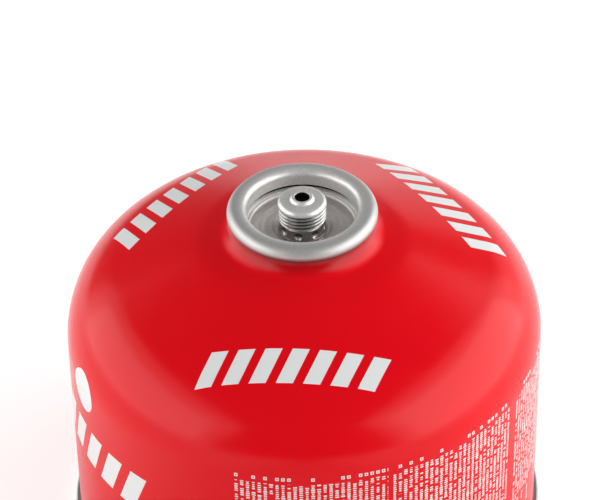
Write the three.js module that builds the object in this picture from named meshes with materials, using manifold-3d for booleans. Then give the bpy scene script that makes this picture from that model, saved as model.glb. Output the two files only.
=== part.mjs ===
// A camping-stove gas cartridge: a drawn steel can with a domed top, a seamed bottom end and a
// crimped valve cup with a threaded pedestal. Millimetres, +Z up, standing on its bottom seam,
// with the origin at the centre of the circle it stands on. Sections are in (radius, height).
import * as THREE from 'three';
import { mergeVertices } from 'three/addons/utils/BufferGeometryUtils.js';
import Module from 'manifold-3d';

// Can body
const bodyRadius = 54.5;
const bodyWall = 0.4;
const wallTop = 53.8;
const shoulderRadius = 19.4;
const crownAngle = 22;
const crownInnerRadius = 25;
const collarAngle = 14;
const collarBend = 26;
const neckOverhang = 0.65;
const neckFillet = 4.75;
const neckHeight = 0.12;

// Curled bead round the can's mouth, which the valve cup is crimped over
const beadCentre = 14.475;
const beadLand = 0.75;
const beadInnerRounding = 1;
const beadOuterRounding = 1.4;
const crestAngle = 78;

// Bottom end and its double seam
const endSheet = 0.4;
const seamOverhang = 1.2;
const seamHeight = 3;
const seamTopRounding = 0.6;
const seamFootRounding = 0.5;
const kneeHeight = 5.2;
const kneeRounding = 2.2;
const endRise = 9;

// Valve cup, with heights counted from the centre of its rim's inner rounding
const cupSheet = 0.4;
const rollUnder = 52;
const crimpDepth = 0.8;
const crimpTop = 2.1;
const crimpHeight = 1.5;
const crimpFlat = 0.4;
const cupDepth = 4.4;
const cupCornerRounding = 0.8;

// Threaded pedestal in the middle of the cup
const threadRadius = 5.5;
const threadBottom = -1.5;
const pedestalTop = 3.3;
const pedestalEdgeRounding = 0.85;
const pedestalNeck = 5.1;
const neckStep = 0.4;
const footRounding = 1;
const inletRadius = 1.65;
const inletLipRadius = 2.8;
const inletLipHeight = 0.67;
const inletLipDepth = 0.8;

// Clinch dimples round the pedestal's neck
const dimpleCount = 8;
const dimpleRadius = 1.1;
const dimpleOffset = 0.45;
const dimpleHeight = 1.6;
const dimpleTurn = -101;

// Rubber seal under the inlet
const sealThickness = 1.6;
const sealBore = 1.3;
const boreDepth = 3;

// Clearance between fitted pieces, and the number of flats round each revolved piece
const fitGap = 0.3;
const canSides = 48;
const cupSides = 32;
const sealSides = 24;
const dimpleSides = 10;

const wasm = await Module();
wasm.setup();
const rad = THREE.MathUtils.degToRad;

// Points of a circular arc from one angle to another, in degrees.
function arc(r, z, radius, from, to, step = 20) {
  const count = Math.max(1, Math.round(Math.abs(to - from) / step));
  return Array.from({ length: count + 1 }, (_, i) => {
    const angle = rad(from + (to - from) * i / count);
    return new THREE.Vector2(r + radius * Math.cos(angle), z + radius * Math.sin(angle));
  });
}

// Paths laid end to end, with the points that they share kept once.
function joined(...paths) {
  const points = paths.flat();
  return points.filter((point, i) => i === 0 || point.distanceTo(points[i - 1]) > 1e-6);
}

// A path through corners [radius, height, rounding].
function rounded(corners, step = 30) {
  const points = corners.map(([r, z]) => new THREE.Vector2(r, z));
  return points.flatMap((corner, i) => {
    const rounding = corners[i][2] ?? 0;
    if (rounding === 0) return [corner];
    const back = points[i - 1].clone().sub(corner).normalize();
    const ahead = points[i + 1].clone().sub(corner).normalize();
    const turn = Math.PI - Math.acos(back.dot(ahead));
    const start = corner.clone().addScaledVector(back, rounding * Math.tan(turn / 2));
    const inward = back.clone().add(ahead).normalize();
    const centre = corner.clone().addScaledVector(inward, rounding / Math.cos(turn / 2));
    const way = -Math.sign(back.cross(ahead)) * turn;
    const count = Math.max(1, Math.round(turn / rad(step)));
    return Array.from({ length: count + 1 }, (_, k) => (
      start.clone().rotateAround(centre, way * k / count)
    ));
  });
}

// The same path moved sideways, to its left when the distance is positive.
function offset(path, distance) {
  return path.map((point, i) => {
    const before = path[Math.max(i - 1, 0)];
    const after = path[Math.min(i + 1, path.length - 1)];
    const inDirection = (i === 0 ? after : point).clone().sub(i === 0 ? point : before).normalize();
    const outDirection = (i === path.length - 1 ? inDirection : after.clone().sub(point)).clone();
    const along = inDirection.clone().add(outDirection.normalize()).normalize();
    const mitre = distance / along.dot(inDirection);
    return new THREE.Vector2(point.x - along.y * mitre, point.y + along.x * mitre);
  });
}

// A section turned round the Z axis. It starts and ends on the axis or closes on itself.
function revolve(section, sides) {
  return new THREE.LatheGeometry(section, sides).rotateX(Math.PI / 2);
}

function closed(section) {
  return [...section, section[0].clone()];
}

function mesh(name, geometry, color, roughness, metalness) {
  const result = new THREE.Mesh(
    geometry,
    new THREE.MeshStandardMaterial({ color, roughness, metalness }),
  );
  result.name = name;
  return result;
}

function toSolid(geometry) {
  const bare = geometry.clone();
  bare.deleteAttribute('normal');
  bare.deleteAttribute('uv');
  const merged = mergeVertices(bare);
  return new wasm.Manifold(new wasm.Mesh({
    numProp: 3,
    vertProperties: new Float32Array(merged.attributes.position.array),
    triVerts: new Uint32Array(merged.index.array),
  }));
}

function toGeometry(solid) {
  const { vertProperties, triVerts } = solid.getMesh();
  const geometry = new THREE.BufferGeometry();
  geometry.setAttribute('position', new THREE.BufferAttribute(vertProperties, 3));
  geometry.setIndex(new THREE.BufferAttribute(triVerts, 1));
  geometry.computeVertexNormals();
  return geometry;
}

// Radii and heights that follow from the dome
const neckRadius = beadCentre + beadLand / 2 + neckOverhang;
const seamRadius = bodyRadius + seamOverhang;
const shoulderSpan = 90 - crownAngle;
const shoulderEnd = arc(bodyRadius - shoulderRadius, wallTop, shoulderRadius, 0, shoulderSpan).at(-1);
const crownRise = (shoulderEnd.x - crownInnerRadius) * Math.tan(rad(crownAngle));
const bendCentreRadius = crownInnerRadius - collarBend * Math.sin(rad(crownAngle));
const bendCentreHeight = shoulderEnd.y + crownRise - collarBend * Math.cos(rad(crownAngle));
const bend = arc(bendCentreRadius, bendCentreHeight, collarBend, 90 - crownAngle, 90 - collarAngle, 4);
const filletFoot = neckRadius + neckFillet * (1 - Math.sin(rad(collarAngle)));
const collarRise = (bend.at(-1).x - filletFoot) * Math.tan(rad(collarAngle));
const neckBase = bend.at(-1).y + collarRise + neckFillet * Math.cos(rad(collarAngle));
const beadSpan = THREE.MathUtils.radToDeg(Math.acos(neckOverhang / beadOuterRounding));
const outerMiddle = neckBase + neckHeight + beadOuterRounding * Math.sin(rad(beadSpan));
const rimMiddle = outerMiddle + (beadOuterRounding - beadInnerRounding) * Math.sin(rad(crestAngle));

// Heights and radii inside the cup that neighbours share
const cupWall = beadCentre - beadLand / 2 - beadInnerRounding - fitGap - cupSheet;
const cupFloor = rimMiddle - cupDepth;
const inletLipBottom = rimMiddle + pedestalTop - inletLipDepth;
const sealTop = inletLipBottom - fitGap;
const bossTop = sealTop - sealThickness - fitGap;
const bossRadius = pedestalNeck + dimpleOffset - dimpleRadius - cupSheet - fitGap;

// The rounded top of the bead, a distance above its surface, from the mouth side outwards.
function overBead(above, from, to) {
  const half = beadLand / 2;
  const inner = beadInnerRounding + above;
  const outer = beadOuterRounding + above;
  const crestRadius = (inner + outer) / 2 + half / Math.cos(rad(crestAngle));
  const crestCentre = beadCentre + (outer - inner) / 2 * Math.cos(rad(crestAngle));
  const crestHeight = rimMiddle + (inner - crestRadius) * Math.sin(rad(crestAngle));
  return joined(
    arc(beadCentre - half, rimMiddle, inner, from, 180 - crestAngle, 26),
    arc(crestCentre, crestHeight, crestRadius, 180 - crestAngle, crestAngle, 12),
    arc(beadCentre + half, outerMiddle, outer, crestAngle, to, 26),
  );
}

// Middle of the bottom end's sheet: a dome pushed up into the can and a knee into the chuck wall.
function endPath() {
  const chuck = bodyRadius - bodyWall - fitGap - endSheet / 2;
  const domeRadius = (chuck ** 2 + endRise ** 2) / (2 * endRise);
  const domeEdge = THREE.MathUtils.radToDeg(Math.acos(chuck / domeRadius));
  const domeCentre = kneeHeight + endRise - domeRadius;
  const dome = arc(0, domeCentre, domeRadius, 90, domeEdge, 4);
  const corners = dome.map(({ x, y }) => [x, y]);
  corners.at(-1).push(kneeRounding);
  return rounded([...corners, [chuck, seamHeight + fitGap]]);
}

// Middle of the cup's sheet from the foot of the pedestal to the rim: floor, crimp and wall.
function cupWallPath(innerRadius) {
  const middle = cupWall + cupSheet / 2;
  const crimpRadius = middle + crimpDepth;
  const crimpMiddle = rimMiddle - crimpTop - crimpHeight / 2;
  return rounded([
    [innerRadius, cupFloor - cupSheet / 2],
    [middle, cupFloor - cupSheet / 2, cupCornerRounding],
    [middle, rimMiddle - crimpTop - crimpHeight],
    [crimpRadius, crimpMiddle - crimpFlat / 2],
    [crimpRadius, crimpMiddle + crimpFlat / 2],
    [middle, rimMiddle - crimpTop],
    [middle, rimMiddle],
  ]);
}

// Middle of the pedestal's sheet, from the lip round the inlet out and down to the cup's floor.
function pedestalPath() {
  const half = cupSheet / 2;
  const inlet = inletRadius + half;
  const lipCrest = rimMiddle + pedestalTop + inletLipHeight - half;
  const top = rimMiddle + pedestalTop - half;
  const thread = threadRadius - half;
  const neck = pedestalNeck - half;
  const neckTop = rimMiddle + threadBottom - neckStep;
  return rounded([
    [inlet, inletLipBottom],
    [inlet, lipCrest],
    [(inlet + inletLipRadius) / 2, lipCrest],
    [inletLipRadius, top],
    [thread, top, pedestalEdgeRounding - half],
    [thread, rimMiddle + threadBottom],
    [neck, neckTop],
    [neck, cupFloor - half, footRounding + half],
    [neck + footRounding + cupSheet, cupFloor - half],
  ]);
}

// The sealed can: drawn wall, dome, neck and bead, filled with what it holds, since nothing of its
// inside can be seen. Underneath it follows the bottom end, and at its mouth the valve cup.
function canBody() {
  const underside = offset(endPath(), endSheet / 2 + fitGap);
  underside[0].x = 0;
  const pocket = offset(cupWallPath(bossRadius), -(cupSheet / 2 + fitGap)).reverse();
  pocket.at(-1).x = bossRadius;
  const section = joined(
    underside,
    rounded([[bodyRadius, seamHeight + fitGap]]),
    arc(bodyRadius - shoulderRadius, wallTop, shoulderRadius, 0, shoulderSpan, 8.5),
    bend,
    arc(neckRadius + neckFillet, neckBase, neckFillet, 270 - collarAngle, 180, 19),
    rounded([[neckRadius, neckBase + neckHeight]]),
    overBead(0, 180, -beadSpan).reverse(),
    pocket,
    rounded([
      [bossRadius, bossTop],
      [sealBore, bossTop],
      [sealBore, bossTop - boreDepth],
      [0, bossTop - boreDepth],
    ]),
  );
  return mesh('can_body', revolve(section, canSides), 0xd0060c, 0.22, 0);
}

// The pressed bottom end with the rolled seam that the can stands on.
function bottomEnd() {
  const path = endPath();
  const under = offset(path, -endSheet / 2);
  const top = offset(path, endSheet / 2).reverse();
  under[0].x = 0;
  top.at(-1).x = 0;
  const chuckInner = under.at(-1).x;
  const section = joined(
    under,
    rounded([
      [chuckInner, seamHeight],
      [chuckInner, 0, seamFootRounding],
      [seamRadius, 0, seamFootRounding],
      [seamRadius, seamHeight, seamTopRounding],
      [top[0].x, seamHeight],
    ]),
    top,
  );
  return mesh('bottom_end', revolve(section, canSides), 0xb9bab8, 0.35, 1);
}

// A ball at each clinch dimple.
function dimpleBalls(radius) {
  return Array.from({ length: dimpleCount }, (_, i) => {
    const angle = rad(dimpleTurn + 360 * i / dimpleCount);
    const reach = pedestalNeck + dimpleOffset;
    const ball = new THREE.SphereGeometry(radius, dimpleSides, dimpleSides / 2);
    ball.rotateX(Math.PI / 2);
    ball.rotateZ(angle);
    ball.translate(reach * Math.cos(angle), reach * Math.sin(angle), cupFloor + dimpleHeight);
    return toSolid(ball);
  }).reduce((all, ball) => all.add(ball));
}

// The pressed valve cup: one sheet that makes the threaded pedestal, the floor, the crimp that
// grips the can from inside and the rim rolled over the bead. The dimples are pressed in through
// the sheet, so each is a hollow outside and a bump inside.
function valveCup() {
  const wall = cupWallPath(pedestalNeck + footRounding + cupSheet / 2);
  const rim = overBead(fitGap + cupSheet / 2, 180, -rollUnder);
  const path = joined(pedestalPath(), wall, rim);
  const section = closed([
    ...offset(path, -cupSheet / 2),
    ...offset(path, cupSheet / 2).reverse(),
  ]);
  const neckCore = revolve(rounded([
    [0, cupFloor],
    [pedestalNeck - cupSheet / 2, cupFloor],
    [pedestalNeck - cupSheet / 2, rimMiddle + threadBottom],
    [0, rimMiddle + threadBottom],
  ]), cupSides);
  const bumps = dimpleBalls(dimpleRadius + cupSheet).intersect(toSolid(neckCore));
  const cup = toSolid(revolve(section, cupSides)).add(bumps).subtract(dimpleBalls(dimpleRadius));
  return mesh('valve_cup', toGeometry(cup), 0xc4c3bf, 0.3, 1);
}

// The rubber seal that shows black through the inlet.
function valveSeal() {
  const outer = threadRadius - cupSheet - fitGap;
  const section = closed(rounded([
    [sealBore, sealTop - sealThickness],
    [outer, sealTop - sealThickness],
    [outer, sealTop],
    [sealBore, sealTop],
  ]));
  return mesh('valve_seal', revolve(section, sealSides), 0x141414, 0.8, 0);
}

const cartridge = new THREE.Group();
cartridge.add(canBody(), bottomEnd(), valveCup(), valveSeal());

export default cartridge;
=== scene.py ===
from math import acos, atan2, ceil, cos, degrees, hypot, pi, radians, sin, sqrt, tan

import bmesh
import bpy
from mathutils import Matrix, Vector

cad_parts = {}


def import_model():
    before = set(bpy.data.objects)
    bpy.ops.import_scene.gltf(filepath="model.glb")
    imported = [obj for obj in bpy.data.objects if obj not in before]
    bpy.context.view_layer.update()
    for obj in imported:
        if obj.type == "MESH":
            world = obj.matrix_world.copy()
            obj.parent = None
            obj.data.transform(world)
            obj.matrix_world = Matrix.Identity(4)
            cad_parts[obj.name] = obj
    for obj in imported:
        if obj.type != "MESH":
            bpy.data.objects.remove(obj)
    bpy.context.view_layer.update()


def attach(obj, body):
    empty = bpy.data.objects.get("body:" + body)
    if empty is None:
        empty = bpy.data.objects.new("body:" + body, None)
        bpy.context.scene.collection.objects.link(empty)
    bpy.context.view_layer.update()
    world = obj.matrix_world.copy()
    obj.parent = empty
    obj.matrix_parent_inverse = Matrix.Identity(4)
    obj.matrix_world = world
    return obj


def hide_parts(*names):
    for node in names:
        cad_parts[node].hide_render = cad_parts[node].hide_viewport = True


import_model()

MM = 0.001

# Can body and its dome, in millimetres
body_radius = 54.5
body_wall = 0.4
wall_top = 53.8
shoulder_radius = 19.4
crown_slope = 22
crown_inner_radius = 25
collar_slope = 14
collar_bend = 26
neck_fillet = 4.75
neck_height = 0.12

# Curled bead of the can's mouth, under the cup's rim
bead_centre = 14.475
bead_land = 0.75
bead_inner_rounding = 1
bead_outer_rounding = 1.4
crest_angle = 78
neck_overhang = 0.65

# Bottom end and its seam
end_sheet = 0.4
seam_overhang = 1.2
seam_height = 3
seam_rounding = 0.55
knee_height = 5.2
knee_rounding = 2.2
end_rise = 9

# Valve cup, with heights counted from the centre of its rim's inner rounding
cup_sheet = 0.4
roll_under = 52
crimp_depth = 1.1
crimp_top = 2.1
crimp_height = 1.5
crimp_half_flat = 0.2
crimp_rounding = 0.3
crimp_lip_rounding = 0.25
cup_depth = 4.4
floor_margin = 1.1
floor_corner = 0.8
floor_spacing = 0.2
floor_ripple = 0.035
floor_ripple_pitch = 1.5
floor_ripple_fade = 0.8

# Threaded pedestal, with a moat round its foot
collar_radius = 5.5
thread_crest = 5.4
thread_root = 4.88
thread_pitch = 25.4 / 28
thread_top = 2.05
thread_bottom = -2.1
thread_fullness = 1.15
thread_run_out = 0.9
thread_run_in = 0.2
thread_spacing = 0.07
pedestal_top = 3.3
pedestal_edge = 1.1
pedestal_neck = 5.1
neck_spacing = 0.12
moat_depth = 0.5
moat_width = 1.9
moat_bank = 0.9
moat_edge = 0.2
moat_roundings = (0.5, 0.4, 0.3)
inlet_radius = 1.65
lip_radius = 2.8
lip_height = 0.67
lip_depth = 0.8
lip_width = 0.65
lip_rounding = 0.3
lip_foot_rounding = 0.35

# Clinch dimples
dimple_count = 8
dimple_radius = 1.1
dimple_offset = 0.45
dimple_height = 0.8
dimple_turn = -101

# Rubber seal
seal_thickness = 1.6
seal_bore = 1.3
seal_chamfer = 0.3
seal_slack = 0.2
bore_depth = 3

fit_gap = 0.3

# Flats round each spun piece
can_sides = 128
cup_sides = 192
seal_sides = 64


# Section drawing, in (radius, height)

def arc(r, z, radius, start, end, step=6):
    """Points of an arc from one angle to another, in degrees."""
    count = max(1, ceil(abs(end - start) / step))
    angles = [radians(start + (end - start) * i / count) for i in range(count + 1)]
    return [Vector((r + radius * cos(a), z + radius * sin(a))) for a in angles]


def line(*points):
    return [Vector(p) for p in points]


def rounded(corners, step=10):
    """A path through corners (radius, height, rounding)."""
    points = [Vector(c[:2]) for c in corners]
    path = []
    for i, corner in enumerate(points):
        rounding = corners[i][2] if len(corners[i]) > 2 else 0
        if not rounding:
            path.append(corner)
            continue
        back = (points[i - 1] - corner).normalized()
        ahead = (points[i + 1] - corner).normalized()
        turn = pi - back.angle(ahead)
        start = corner + back * rounding * tan(turn / 2)
        centre = corner + (back + ahead).normalized() * rounding / cos(turn / 2)
        way = turn if back.x * ahead.y - back.y * ahead.x < 0 else -turn
        count = max(1, round(degrees(turn) / step))
        turns = [Matrix.Rotation(way * k / count, 2) for k in range(count + 1)]
        path += [centre + turned @ (start - centre) for turned in turns]
    return path


def joined(*paths):
    """Paths end to end, with a shared point kept once."""
    points = []
    for point in (p for path in paths for p in path):
        if not points or (point - points[-1]).length > 1e-5:
            points.append(point)
    return points


def filled(path, gap):
    """The same path with points added where they are further apart than the gap."""
    points = [path[0]]
    for before, after in zip(path, path[1:]):
        count = max(1, ceil((after - before).length / gap))
        points += [before.lerp(after, k / count) for k in range(1, count + 1)]
    return points


def offset(path, distance):
    """The path moved to its left."""
    moved = []
    for i, point in enumerate(path):
        into = (point - path[i - 1]).normalized() if i else (path[1] - point).normalized()
        out = (path[i + 1] - point).normalized() if i < len(path) - 1 else into
        along = (into + out).normalized()
        mitre = distance / along.dot(into)
        moved.append(point + Vector((-along.y, along.x)) * mitre)
    return moved


# Heights that follow from the dome

neck_radius = bead_centre + bead_land / 2 + neck_overhang
shoulder_centre = body_radius - shoulder_radius
shoulder_end = arc(shoulder_centre, wall_top, shoulder_radius, 0, 90 - crown_slope)[-1]
crown_rise = (shoulder_end.x - crown_inner_radius) * tan(radians(crown_slope))
bend_centre = (
    crown_inner_radius - collar_bend * sin(radians(crown_slope)),
    shoulder_end.y + crown_rise - collar_bend * cos(radians(crown_slope)),
)
bend = arc(*bend_centre, collar_bend, 90 - crown_slope, 90 - collar_slope, 1)
fillet_foot = neck_radius + neck_fillet * (1 - sin(radians(collar_slope)))
collar_rise = (bend[-1].x - fillet_foot) * tan(radians(collar_slope))
neck_base = bend[-1].y + collar_rise + neck_fillet * cos(radians(collar_slope))
bead_span = degrees(acos(neck_overhang / bead_outer_rounding))
outer_middle = neck_base + neck_height + bead_outer_rounding * sin(radians(bead_span))
rim_middle = outer_middle + (bead_outer_rounding - bead_inner_rounding) * sin(radians(crest_angle))
cup_wall = bead_centre - bead_land / 2 - bead_inner_rounding - fit_gap - cup_sheet
cup_floor = rim_middle - cup_depth
boss_radius = pedestal_neck + dimple_offset - dimple_radius - cup_sheet - fit_gap
seal_top = rim_middle + pedestal_top - lip_depth - fit_gap
boss_top = seal_top - seal_thickness - fit_gap


# Meshes

def spun(name, section, steps, sharp=35, shape=None):
    """A section turned into a closed body round the Z axis, with its faces outwards."""
    bm = bmesh.new()
    ring = [bm.verts.new((p.x, 0, p.y)) for p in section]
    loose = ring[0].co.x > 1e-6
    edges = [bm.edges.new(pair) for pair in zip(ring, ring[1:])]
    if loose:
        edges.append(bm.edges.new((ring[-1], ring[0])))
    bmesh.ops.spin(
        bm, geom=ring + edges, cent=(0, 0, 0), axis=(0, 0, 1),
        angle=2 * pi, steps=steps, use_merge=True,
    )
    bmesh.ops.remove_doubles(bm, verts=bm.verts, dist=1e-5)
    bmesh.ops.dissolve_degenerate(bm, edges=bm.edges, dist=1e-6)
    if shape:
        shape(bm)
    bmesh.ops.recalc_face_normals(bm, faces=bm.faces)
    bmesh.ops.scale(bm, vec=(MM, MM, MM), verts=bm.verts)
    mesh = bpy.data.meshes.new(name)
    bm.to_mesh(mesh)
    bm.free()
    mesh.shade_smooth()
    mesh.set_sharp_from_angle(angle=radians(sharp))
    piece = bpy.data.objects.new(name, mesh)
    bpy.context.collection.objects.link(piece)
    return piece


def over_bead(above, start, end):
    """The rounded top of the bead, a distance above its surface, from the mouth outwards."""
    half = bead_land / 2
    inner = bead_inner_rounding + above
    outer = bead_outer_rounding + above
    crest_radius = (inner + outer) / 2 + half / cos(radians(crest_angle))
    crest_centre = bead_centre + (outer - inner) / 2 * cos(radians(crest_angle))
    crest_height = rim_middle + (inner - crest_radius) * sin(radians(crest_angle))
    return joined(
        arc(bead_centre - half, rim_middle, inner, start, 180 - crest_angle),
        arc(crest_centre, crest_height, crest_radius, 180 - crest_angle, crest_angle, 3),
        arc(bead_centre + half, outer_middle, outer, crest_angle, end),
    )


def end_path():
    """Middle of the bottom end's sheet, from the axis out and down into the seam."""
    chuck = body_radius - body_wall - fit_gap - end_sheet / 2
    dome_radius = (chuck ** 2 + end_rise ** 2) / (2 * end_rise)
    dome_centre = knee_height + end_rise - dome_radius
    dome = arc(0, dome_centre, dome_radius, 90, degrees(acos(chuck / dome_radius)), 1)
    corners = [tuple(p) for p in dome]
    corners[-1] += (knee_rounding,)
    return rounded(corners + [(chuck, seam_height + fit_gap)])


def cup_wall_path(inner_radius):
    """Outer face of the cup's floor, crimp and wall, as seen from above, up to the rim."""
    crimp_middle = rim_middle - crimp_top - crimp_height / 2
    floor_end = cup_wall - floor_margin
    rippled = filled(line((inner_radius, cup_floor), (floor_end, cup_floor)), floor_spacing)
    for p in rippled:
        inside = min(p.x - inner_radius, floor_end - p.x)
        fade = min(1, inside / floor_ripple_fade)
        p.y += floor_ripple * fade * cos(2 * pi * (p.x - inner_radius) / floor_ripple_pitch)
    return joined(
        rippled,
        rounded([
            (floor_end, cup_floor),
            (cup_wall, cup_floor, floor_corner),
            (cup_wall, rim_middle - crimp_top - crimp_height, crimp_rounding),
            (cup_wall + crimp_depth, crimp_middle - crimp_half_flat, crimp_rounding),
            (cup_wall + crimp_depth, crimp_middle + crimp_half_flat, crimp_rounding),
            (cup_wall, rim_middle - crimp_top, crimp_lip_rounding),
            (cup_wall, rim_middle),
        ]),
    )


def pedestal_path():
    """Outer face of the pedestal, from the lip in the inlet out and down, then through the moat
    round its foot to the cup's floor."""
    top = rim_middle + pedestal_top
    crest = top + lip_height
    thread_start = (thread_root, rim_middle + thread_top - 0.1)
    thread_end = (thread_root, rim_middle + thread_bottom)
    moat_floor = cup_floor - moat_depth
    neck_rounding, bank_rounding, edge_rounding = moat_roundings
    return joined(
        rounded([
            (inlet_radius, top - lip_depth),
            (inlet_radius, crest, lip_rounding),
            (inlet_radius + lip_width, crest, lip_rounding),
            (lip_radius, top, lip_foot_rounding),
            (collar_radius, top, pedestal_edge),
            (collar_radius, rim_middle + thread_top + 0.08),
            thread_start,
        ]),
        filled(line(thread_start, thread_end), thread_spacing),
        rounded([
            thread_end,
            (pedestal_neck - 0.1, rim_middle + thread_bottom - 0.15),
        ]),
        filled(rounded([
            (pedestal_neck, rim_middle + thread_bottom - 0.3),
            (pedestal_neck, moat_floor, neck_rounding),
            (pedestal_neck + moat_width - moat_bank, moat_floor, bank_rounding),
            (pedestal_neck + moat_width - moat_edge, cup_floor, edge_rounding),
            (pedestal_neck + moat_width, cup_floor),
        ]), neck_spacing),
    )


def cut_thread(co):
    """Raises a right-hand helical ridge on the pedestal's threaded stretch."""
    height = co.z - rim_middle
    r = hypot(co.x, co.y)
    on_stretch = thread_bottom - 0.02 <= height <= thread_top
    if not (on_stretch and thread_root - 0.02 < r < thread_crest):
        return
    phase = (height / thread_pitch - atan2(co.y, co.x) / (2 * pi)) % 1
    flank = 1 - abs(2 * phase - 1)
    ridge = min(1, thread_fullness * flank)
    run_out = max(0, 1 - (thread_top - height) / thread_run_out)
    run_in = max(0, min(1, (height - thread_bottom) / thread_run_in))
    grown = r + (thread_crest - thread_root) * max(ridge, run_out) * run_in
    co.x *= grown / r
    co.y *= grown / r


def press_dimples(co):
    """Presses the clinch dimples into the pedestal's neck."""
    r = hypot(co.x, co.y)
    dz = co.z - cup_floor - dimple_height
    if r > pedestal_neck + 0.6 or abs(dz) > dimple_radius:
        return
    pitch = 2 * pi / dimple_count
    angle = (atan2(co.y, co.x) - radians(dimple_turn) + pitch / 2) % pitch - pitch / 2
    across = angle * pedestal_neck
    inside = dimple_radius ** 2 - across ** 2 - dz ** 2
    if inside <= 0:
        return
    floor_r = pedestal_neck + dimple_offset - sqrt(inside)
    if floor_r < r:
        co.x *= floor_r / r
        co.y *= floor_r / r


def shape_cup(bm):
    """Cuts the thread and presses the dimples, in the sheet's outer face only."""
    for vert in bm.verts:
        if hypot(vert.co.x, vert.co.y) < pedestal_neck - 0.25:
            continue
        cut_thread(vert.co)
        press_dimples(vert.co)


def can_body():
    underside = offset(end_path(), end_sheet / 2 + fit_gap)
    underside[0].x = 0
    pocket_floor = cup_floor - moat_depth - cup_sheet - fit_gap
    pocket_radius = cup_wall + cup_sheet + fit_gap
    crimp_radius = cup_wall + crimp_depth + cup_sheet + fit_gap
    pocket_wall = rounded([
        (boss_radius, pocket_floor),
        (pocket_radius, pocket_floor, floor_corner),
        (crimp_radius, rim_middle - crimp_top - crimp_height),
        (crimp_radius, rim_middle - crimp_top - 0.2),
        (pocket_radius, rim_middle - crimp_top + 0.6),
    ])
    bore_bottom = boss_top - bore_depth
    section = joined(
        underside,
        line((body_radius, seam_height + fit_gap)),
        filled(line((body_radius, seam_height + fit_gap), (body_radius, wall_top)), 4),
        arc(shoulder_centre, wall_top, shoulder_radius, 0, 90 - crown_slope, 2),
        filled([shoulder_end, bend[0]], 3),
        bend,
        arc(neck_radius + neck_fillet, neck_base, neck_fillet, 270 - collar_slope, 180, 5),
        line((neck_radius, neck_base + neck_height)),
        over_bead(0, 180, -bead_span)[::-1],
        pocket_wall[::-1],
        line(
            (boss_radius, boss_top), (seal_bore, boss_top),
            (seal_bore, bore_bottom), (0, bore_bottom),
        ),
    )
    return spun("can_body_lacquered", section, can_sides)


def bottom_end():
    path = end_path()
    under = offset(path, -end_sheet / 2)
    top = offset(path, end_sheet / 2)[::-1]
    under[0].x = 0
    top[-1].x = 0
    seam_radius = body_radius + seam_overhang
    section = joined(
        under,
        rounded([
            (under[-1].x, seam_height),
            (under[-1].x, 0, seam_rounding),
            (seam_radius, 0, seam_rounding),
            (seam_radius, seam_height, seam_rounding),
            (top[0].x, seam_height),
        ]),
        top,
    )
    return spun("bottom_end_tinplate", section, can_sides)


def valve_cup():
    face = joined(
        pedestal_path(),
        cup_wall_path(pedestal_neck + moat_width),
        over_bead(fit_gap + cup_sheet, 180, -roll_under),
    )
    section = joined(offset(face, -cup_sheet), face[::-1])
    return spun("valve_cup_pressed", section, cup_sides, shape=shape_cup)


def valve_seal():
    outer = collar_radius - cup_sheet - fit_gap - seal_slack
    section = rounded([
        (seal_bore + seal_chamfer, seal_top - seal_thickness),
        (outer, seal_top - seal_thickness),
        (outer, seal_top),
        (seal_bore + seal_chamfer, seal_top),
        (seal_bore, seal_top - 0.25),
        (seal_bore, seal_top - seal_thickness + 0.25),
    ])
    return spun("valve_seal_rubber", section, seal_sides)


# Materials

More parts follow.
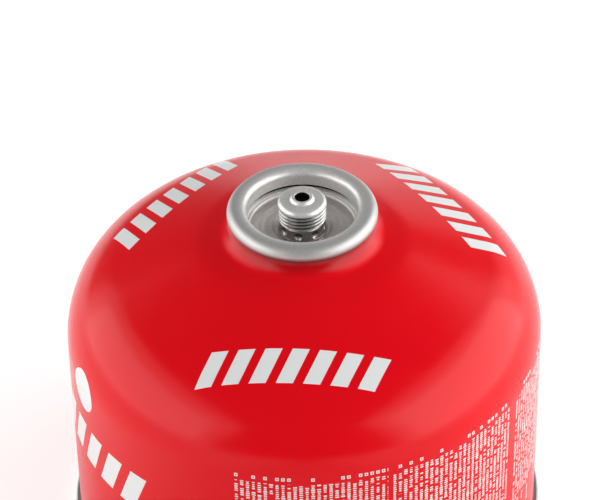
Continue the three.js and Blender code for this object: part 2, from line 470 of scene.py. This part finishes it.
class Nodes:
    """Short forms for a material's nodes."""

    def __init__(self, name):
        self.material = bpy.data.materials.new(name)
        self.material.use_nodes = True
        self.tree = self.material.node_tree
        self.shader = self.tree.nodes["Principled BSDF"]
        self.output = self.tree.nodes["Material Output"]
        self.place = self.new("ShaderNodeTexCoord").outputs["Object"]

    def new(self, kind, **settings):
        node = self.tree.nodes.new(kind)
        for key, value in settings.items():
            setattr(node, key, value)
        return node

    def put(self, socket, value):
        if isinstance(value, bpy.types.NodeSocket):
            self.tree.links.new(value, socket)
        else:
            socket.default_value = value

    def math(self, operation, *values):
        node = self.new("ShaderNodeMath", operation=operation)
        for socket, value in zip(node.inputs, values):
            self.put(socket, value)
        return node.outputs[0]

    def parts(self):
        node = self.new("ShaderNodeSeparateXYZ")
        self.put(node.inputs[0], self.place)
        return [self.math("MULTIPLY", s, 1 / MM) for s in node.outputs]

    def point(self, x, y, z):
        node = self.new("ShaderNodeCombineXYZ")
        for socket, value in zip(node.inputs, (x, y, z)):
            self.put(socket, value)
        return node.outputs[0]

    def length(self, x, y):
        squares = self.math("POWER", x, 2), self.math("POWER", y, 2)
        return self.math("SQRT", self.math("ADD", *squares))

    def random(self, x, y):
        node = self.new("ShaderNodeTexWhiteNoise", noise_dimensions="2D")
        self.put(node.inputs["Vector"], self.point(x, y, 0))
        return node.outputs["Value"]

    def noise(self, place, scale, detail=2):
        node = self.new("ShaderNodeTexNoise")
        self.put(node.inputs["Vector"], place)
        node.inputs["Scale"].default_value = scale
        node.inputs["Detail"].default_value = detail
        return node.outputs["Fac"]

    def ramp(self, value, low, high, start, end):
        node = self.new("ShaderNodeMapRange")
        for socket, v in zip(node.inputs, (value, low, high, start, end)):
            self.put(socket, v)
        return node.outputs[0]

    def mix(self, fac, a, b):
        node = self.new("ShaderNodeMix", data_type="RGBA")
        self.put(node.inputs["Factor"], fac)
        self.put(node.inputs["A"], a)
        self.put(node.inputs["B"], b)
        return node.outputs["Result"]

    def bump(self, height, strength, distance):
        node = self.new("ShaderNodeBump")
        node.inputs["Strength"].default_value = strength
        node.inputs["Distance"].default_value = distance
        self.put(node.inputs["Height"], height)
        self.put(self.shader.inputs["Normal"], node.outputs[0])

    def within(self, value, low, high):
        """1 between two limits, else 0."""
        over = self.math("GREATER_THAN", value, low)
        under = self.math("LESS_THAN", value, high)
        return self.math("MULTIPLY", over, under)

    def either(self, *values):
        result = values[0]
        for value in values[1:]:
            result = self.math("MAXIMUM", result, value)
        return result

    def both(self, *values):
        result = values[0]
        for value in values[1:]:
            result = self.math("MULTIPLY", result, value)
        return result


# Print on the lacquer: rows of bars on the dome and the wall, a disc, and blocks of tiny ticks
bar_count = 7
bar_slant = 0.42
dome_bar_rows = (-4, 122, -129)
dome_bar_pitch = 5.9
dome_bar_width = 3.7
dome_bar_height = 7.8
dome_row_radius = 37.7
wall_row_azimuth = -71
wall_row_height = 38.5
wall_bar_pitch = 8
wall_bar_width = 5
wall_bar_height = 10.5
wall_disc_azimuth = -67
wall_disc_height = 53.5
wall_disc_radius = 5.2
dash_blocks = ((-16.8, 18.9), (20.2, 56.4), (59.3, 104))
dash_column = 1.368
dash_pitch = 0.62
dash_top = 54.2
dash_bottom = 14


def slanted_bars(m, along, up, pitch, width, height):
    """A row of equal slanted bars, centred on zero, as a mask."""
    leaned = m.math("SUBTRACT", along, m.math("MULTIPLY", up, bar_slant))
    steps = m.math("DIVIDE", leaned, pitch)
    nearest = m.math("ROUND", steps)
    off = m.math("ABSOLUTE", m.math("SUBTRACT", steps, nearest))
    bar = m.math("LESS_THAN", off, width / pitch / 2)
    reach = (bar_count - 1) / 2 + 0.1
    return m.both(bar, m.within(nearest, -reach, reach), m.within(up, -height / 2, height / 2))


def dome_print(m, x, y, z):
    rows = []
    for azimuth in dome_bar_rows:
        a = radians(azimuth)
        along = m.math("ADD", m.math("MULTIPLY", x, cos(a)), m.math("MULTIPLY", y, sin(a)))
        out = m.math("SUBTRACT", m.math("MULTIPLY", x, sin(a)), m.math("MULTIPLY", y, cos(a)))
        up = m.math("SUBTRACT", dome_row_radius, out)
        rows.append(slanted_bars(m, along, up, dome_bar_pitch, dome_bar_width, dome_bar_height))
    return m.both(m.either(*rows), m.math("GREATER_THAN", z, wall_top + 5))


def wall_print(m, azimuth, z):
    to_mm = radians(1) * body_radius
    along = m.math("MULTIPLY", m.math("SUBTRACT", azimuth, wall_row_azimuth), to_mm)
    up = m.math("SUBTRACT", z, wall_row_height)
    bars = slanted_bars(m, along, up, wall_bar_pitch, wall_bar_width, wall_bar_height)
    beside = m.math("MULTIPLY", m.math("SUBTRACT", azimuth, wall_disc_azimuth), to_mm)
    above = m.math("SUBTRACT", z, wall_disc_height)
    distance = m.length(beside, above)
    return m.either(bars, m.math("LESS_THAN", distance, wall_disc_radius))


def dash_print(m, azimuth, z):
    """Blocks of upright columns of tiny ticks, with small squares on top of some."""
    column = m.math("DIVIDE", azimuth, dash_column)
    column_no = m.math("ROUND", column)
    beside = m.math("ABSOLUTE", m.math("SUBTRACT", column, column_no))
    shift = m.math("MULTIPLY", m.random(column_no, 3), 5)
    row = m.math("ADD", m.math("DIVIDE", z, dash_pitch), shift)
    row_no = m.math("ROUND", row)
    above = m.math("ABSOLUTE", m.math("SUBTRACT", row, row_no))
    reach = m.ramp(m.random(m.math("ADD", column_no, 40), row_no), 0, 1, 0.19, 0.34)
    thick = m.ramp(m.random(m.math("ADD", column_no, 80), row_no), 0, 1, 0.22, 0.4)
    dash = m.both(m.math("LESS_THAN", beside, reach), m.math("LESS_THAN", above, thick))
    group = m.math("FLOOR", m.math("DIVIDE", m.math("ADD", z, m.math("MULTIPLY", shift, 2)), 0.8))
    spaced = m.math("GREATER_THAN", m.random(column_no, m.math("ADD", row_no, 500)), 0.13)
    blank = m.math("GREATER_THAN", m.random(m.math("ADD", column_no, 120), group), 0.04)
    foot = m.math("ADD", dash_bottom, m.math("MULTIPLY", m.random(column_no, 7), 9))
    ticks = m.both(dash, spaced, blank, m.within(z, 0, dash_top), m.math("GREATER_THAN", z, foot))
    mark_z = m.math("ABSOLUTE", m.math("SUBTRACT", z, dash_top + 1.35))
    marked = m.math("GREATER_THAN", m.random(column_no, 11), 0.55)
    square = m.both(m.math("LESS_THAN", beside, 0.3), m.math("LESS_THAN", mark_z, 0.42))
    inner = m.both(m.math("LESS_THAN", beside, 0.12), m.math("LESS_THAN", mark_z, 0.17))
    square = m.both(marked, m.math("SUBTRACT", square, inner))
    block = m.either(*(m.within(azimuth, *limits) for limits in dash_blocks))
    return m.both(block, m.either(ticks, square))


def red_lacquer():
    """Gloss red with white print, and a painted shade where it runs in under the cup's rim."""
    m = Nodes("red_lacquer_printed_white")
    x, y, z = m.parts()
    turn = m.math("ARCTAN2", x, m.math("MULTIPLY", y, -1))
    azimuth = m.math("MULTIPLY", turn, 180 / pi)
    radius = m.length(x, y)
    white = m.both(
        m.math("GREATER_THAN", radius, crown_inner_radius),
        m.either(dome_print(m, x, y, z), wall_print(m, azimuth, z), dash_print(m, azimuth, z)),
    )
    mottle = m.noise(m.place, 60, 3)
    red = m.mix(mottle, (0.79, 0.0, 0.004, 1), (0.83, 0.0, 0.008, 1))
    # Painted shade: the red darkens towards the neck, standing in for the shadow under the cup's
    # rim
    shaded = m.ramp(radius, neck_radius + 0.2, neck_radius + 1.8, 0.55, 0)
    painted = m.mix(shaded, red, (0.16, 0.0, 0.001, 1))
    m.put(m.shader.inputs["Base Color"], m.mix(white, painted, (0.84, 0.86, 0.85, 1)))
    m.put(m.shader.inputs["Roughness"], m.ramp(m.noise(m.place, 140, 3), 0.3, 0.7, 0.17, 0.23))
    m.shader.inputs["IOR"].default_value = 1.33
    m.bump(m.noise(m.place, 900, 2), 0.08, 0.00002)
    return m.material


def bare_sheet(name, tone, roughness):
    """Bare sheet with fine draw marks that run round the axis."""
    m = Nodes(name)
    x, y, z = m.parts()
    radius = m.length(x, y)
    turn = m.math("ARCTAN2", x, y)
    rings = m.point(radius, z, m.math("MULTIPLY", turn, 0.35))
    marks = m.noise(rings, 9, 4)
    grain = m.ramp(m.noise(m.place, 1500, 2), 0.3, 0.7, 0, 1)
    m.colour = m.mix(grain, tone, tuple(c * 0.86 for c in tone[:3]) + (1,))
    m.bump(marks, 0.25, 0.00004)
    m.radius, m.z = radius, z
    m.roughness = m.ramp(marks, 0.3, 0.7, roughness - 0.05, roughness + 0.06)
    return m


def tinplate():
    m = bare_sheet("bare_tinplate", (0.6, 0.6, 0.58, 1), 0.34)
    m.put(m.shader.inputs["Base Color"], m.colour)
    m.put(m.shader.inputs["Roughness"], m.roughness)
    m.shader.inputs["Metallic"].default_value = 1
    return m.material


def pressed_steel():
    """The cup's sheet: satin steel with a painted dark reflection along the rim's crest, painted
    shade on the outer flank and under the roll, a painted shadow in the crimp, dark thread grooves,
    painted shade on the neck, painted shadows in the dimples with painted highlights on their
    lower lips, and a painted shadow in the inlet."""
    m = bare_sheet("pressed_cup_steel", (0.84, 0.83, 0.81, 1), 0.44)
    steel = m.colour

    # Mixes a colour into the steel: the floor, thread and groove shades are tints, the rest are
    # painted light or shade
    def tinted_or_painted_light(fac, shade):
        nonlocal steel
        steel = m.mix(fac, steel, shade + (1,))

    # Painted dark reflection: a dull grey line along the rim's crest
    off_crest = m.math("ABSOLUTE", m.math("SUBTRACT", m.radius, bead_centre))
    on_rim = m.math("GREATER_THAN", m.z, rim_middle + 1)
    tinted_or_painted_light(m.both(m.ramp(off_crest, 0.3, 1.1, 0.25, 0), on_rim), (0.3, 0.3, 0.3))
    # Painted shade: the rim's outer flank is darker
    outer_flank_painted_shade = m.ramp(m.radius, bead_centre - 0.2, bead_centre + 1, 0, 0.65)
    tinted_or_painted_light(outer_flank_painted_shade, (0.4, 0.39, 0.38))
    # Painted shade under the roll of the rim, on its outer side
    roll_underside_painted_shade = m.both(
        m.math("GREATER_THAN", m.radius, bead_centre),
        m.ramp(m.z, rim_middle - 0.3, rim_middle - 1.3, 0, 0.85),
    )
    tinted_or_painted_light(roll_underside_painted_shade, (0.1, 0.07, 0.07))
    # Painted shadow: a near-black line in the crimp's recess
    crimp = m.both(
        m.math("GREATER_THAN", m.radius, cup_wall + 0.2),
        m.math("LESS_THAN", m.radius, cup_wall + crimp_depth + 0.1),
        m.within(m.z, rim_middle - crimp_top - crimp_height * 0.72, rim_middle - crimp_top),
    )
    tinted_or_painted_light(crimp, (0.02, 0.018, 0.018))
    pressed_floor = m.ramp(m.z, cup_floor + 0.6, cup_floor + 0.2, 0, 0.5)
    tinted_or_painted_light(pressed_floor, (0.8, 0.7, 0.68))
    grip = m.both(
        m.math("GREATER_THAN", m.radius, inlet_radius + 0.1),
        m.ramp(m.radius, pedestal_neck + 1.1, pedestal_neck + 0.8, 0, 1),
        m.ramp(m.z, rim_middle + thread_top, rim_middle + thread_top - 0.4, 0, 1),
    )
    on_thread = m.math("GREATER_THAN", m.z, rim_middle + thread_bottom)
    groove = m.ramp(m.radius, thread_crest - 0.06, thread_root + 0.22, 0, 0.9)
    tinted_or_painted_light(m.both(grip, on_thread), (0.6, 0.59, 0.58))
    tinted_or_painted_light(m.both(grip, on_thread, groove), (0.1, 0.085, 0.08))
    # Painted shade: the pedestal's neck below the thread is dark
    neck = m.both(
        m.ramp(m.z, rim_middle + thread_bottom + 0.1, rim_middle + thread_bottom - 0.2, 0, 0.8),
        m.ramp(m.radius, pedestal_neck + 0.7, pedestal_neck + 0.4, 0, 1),
    )
    tinted_or_painted_light(m.both(grip, neck), (0.2, 0.16, 0.16))
    # Painted shadow: the hollows of the dimples are near-black above their lower lips
    dimple_middle = cup_floor + dimple_height
    hollow = m.ramp(m.radius, pedestal_neck - 0.05, pedestal_neck - 0.3, 0, 0.95)
    shadow = m.ramp(m.z, dimple_middle - 0.45, dimple_middle - 0.1, 0, 1)
    tinted_or_painted_light(m.both(grip, neck, hollow, shadow), (0.02, 0.018, 0.018))
    # Painted highlight: a near-white catch-light on the lower lip of each dimple
    painted_lip_highlight = m.both(
        m.ramp(m.radius, pedestal_neck, pedestal_neck - 0.15, 0, 1),
        m.math("SUBTRACT", 1, shadow),
    )
    tinted_or_painted_light(m.both(grip, neck, painted_lip_highlight), (0.95, 0.93, 0.92))
    # Painted shadow: the steel inside the inlet is near-black
    inlet = m.both(
        m.math("LESS_THAN", m.radius, inlet_radius + 0.07),
        m.math("GREATER_THAN", m.z, cup_floor + 1),
    )
    tinted_or_painted_light(inlet, (0.012, 0.012, 0.012))
    m.put(m.shader.inputs["Base Color"], steel)
    m.put(m.shader.inputs["Metallic"], m.ramp(grip, 0, 1, 0.62, 0.95))
    m.put(m.shader.inputs["Roughness"], m.math("ADD", m.roughness, m.math("MULTIPLY", grip, -0.14)))
    return m.material


def black_rubber():
    m = Nodes("black_seal_rubber")
    mottle = m.noise(m.place, 800, 2)
    black = m.mix(mottle, (0.008, 0.008, 0.008, 1), (0.014, 0.014, 0.014, 1))
    m.put(m.shader.inputs["Base Color"], black)
    m.put(m.shader.inputs["Roughness"], m.ramp(m.noise(m.place, 500, 2), 0.3, 0.7, 0.7, 0.85))
    return m.material


# Pieces on the frame

def dress(piece, node, material):
    piece.data.materials.clear()
    piece.data.materials.append(material)
    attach(piece, "root")
    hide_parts(node)


dress(can_body(), "can_body", red_lacquer())
dress(bottom_end(), "bottom_end", tinplate())
dress(valve_cup(), "valve_cup", pressed_steel())
dress(valve_seal(), "valve_seal", black_rubber())


# Stage: how bright the surround is, and the white that the floor adds to what the lamps give it.
# What it adds for the camera grows to full white between two distances from the axis.
surround_level = 0.2
camera_floor_white = 0.5
camera_white_start = 200
camera_white_end = 500
glossy_floor_white = 0.5


def floor():
    """A pale floor that keeps shadows, adds its own white for the camera, and shows in reflections
    as white behind the can and beside it, but not in front."""
    m = Nodes("pale_floor")
    x, y, _ = m.parts()
    m.shader.inputs["Base Color"].default_value = (0.8, 0.8, 0.8, 1)
    m.shader.inputs["Roughness"].default_value = 0.9
    m.shader.inputs["Specular IOR Level"].default_value = 0
    path = m.new("ShaderNodeLightPath")
    behind = m.ramp(y, -40, 60, 0, 1)
    beside = m.ramp(m.math("ABSOLUTE", x), 60, 110, 0, 1)
    mirrored = m.both(path.outputs["Is Glossy Ray"], m.either(behind, beside), glossy_floor_white)
    distance = m.length(x, y)
    white = m.ramp(distance, camera_white_start, camera_white_end, camera_floor_white, 1)
    seen = m.either(m.math("MULTIPLY", path.outputs["Is Camera Ray"], white), mirrored)
    emission = m.new("ShaderNodeEmission")
    m.put(emission.inputs["Strength"], seen)
    total = m.new("ShaderNodeAddShader")
    m.put(total.inputs[0], m.shader.outputs[0])
    m.put(total.inputs[1], emission.outputs[0])
    m.put(m.output.inputs["Surface"], total.outputs[0])

    bm = bmesh.new()
    bmesh.ops.create_grid(bm, x_segments=1, y_segments=1, size=4)
    mesh = bpy.data.meshes.new("floor")
    bm.to_mesh(mesh)
    bm.free()
    plane = bpy.data.objects.new("floor", mesh)
    bpy.context.collection.objects.link(plane)
    plane.data.materials.append(m.material)


def world():
    sky = bpy.data.worlds.new("white_surround")
    bpy.context.scene.world = sky
    sky.use_nodes = True
    tree = sky.node_tree
    background = tree.nodes["Background"]
    path = tree.nodes.new("ShaderNodeLightPath")
    level = tree.nodes.new("ShaderNodeMapRange")
    tree.links.new(path.outputs["Is Camera Ray"], level.inputs["Value"])
    level.inputs["To Min"].default_value = surround_level
    level.inputs["To Max"].default_value = 1
    tree.links.new(level.outputs[0], background.inputs["Strength"])
    background.inputs["Color"].default_value = (1, 1, 1, 1)


def softbox(name, place, aim, size, level):
    """A rectangular lamp whose face has the given brightness."""
    data = bpy.data.lights.new(name, "AREA")
    data.shape = "RECTANGLE"
    data.size, data.size_y = size
    data.energy = level * pi * size[0] * size[1]
    lamp = bpy.data.objects.new(name, data)
    lamp.location = place
    lamp.rotation_euler = (Vector(aim) - Vector(place)).to_track_quat("-Z", "Y").to_euler()
    bpy.context.collection.objects.link(lamp)


# Name, place, aim and size of each lamp in metres, and the brightness of its face
lamps = (
    ("right_softbox", (0.68, -0.06, 0.3), (0, 0, 0.06), (1.2, 0.6), 1.9),
    ("right_halo", (0.7, -0.06, 0.34), (0, 0, 0.06), (1.7, 0.9), 1.15),
    ("left_softbox", (-0.7, -0.06, 0.27), (0, 0, 0.06), (1.2, 0.5), 1.4),
    ("left_halo", (-0.72, -0.06, 0.32), (0, 0, 0.06), (1.7, 0.8), 1.05),
    ("back_softbox", (0.35, 0.9, 0.2), (0, 0, 0.08), (1.0, 0.38), 0.6),
)

# The photograph's camera, fitted to the can's outline: place in metres, angles in degrees
camera_place = (0, -0.5099, 0.482)
camera_pitch = 38.55
camera_yaw = -0.058
camera_roll = -1.007
photo_size = (600, 500)
focal_pixels = 2885.9


def camera():
    pitch, yaw, roll = (radians(a) for a in (camera_pitch, camera_yaw, camera_roll))
    level_forward = Vector((0, cos(pitch), -sin(pitch)))
    level_up = Vector((0, sin(pitch), cos(pitch)))
    level_right = Vector((1, 0, 0))
    forward = cos(yaw) * level_forward + sin(yaw) * level_right
    side = cos(yaw) * level_right - sin(yaw) * level_forward
    right = cos(roll) * side + sin(roll) * level_up
    up = cos(roll) * level_up - sin(roll) * side
    data = bpy.data.cameras.new("camera")
    data.sensor_width = 36
    data.lens = focal_pixels / photo_size[0] * data.sensor_width
    seen_from = bpy.data.objects.new("camera", data)
    turned = Matrix((right, up, -forward)).transposed().to_4x4()
    seen_from.matrix_world = Matrix.Translation(camera_place) @ turned
    bpy.context.collection.objects.link(seen_from)
    bpy.context.scene.camera = seen_from


camera()
floor()
world()
for lamp in lamps:
    softbox(*lamp)
bpy.context.scene.view_settings.view_transform = "Standard"
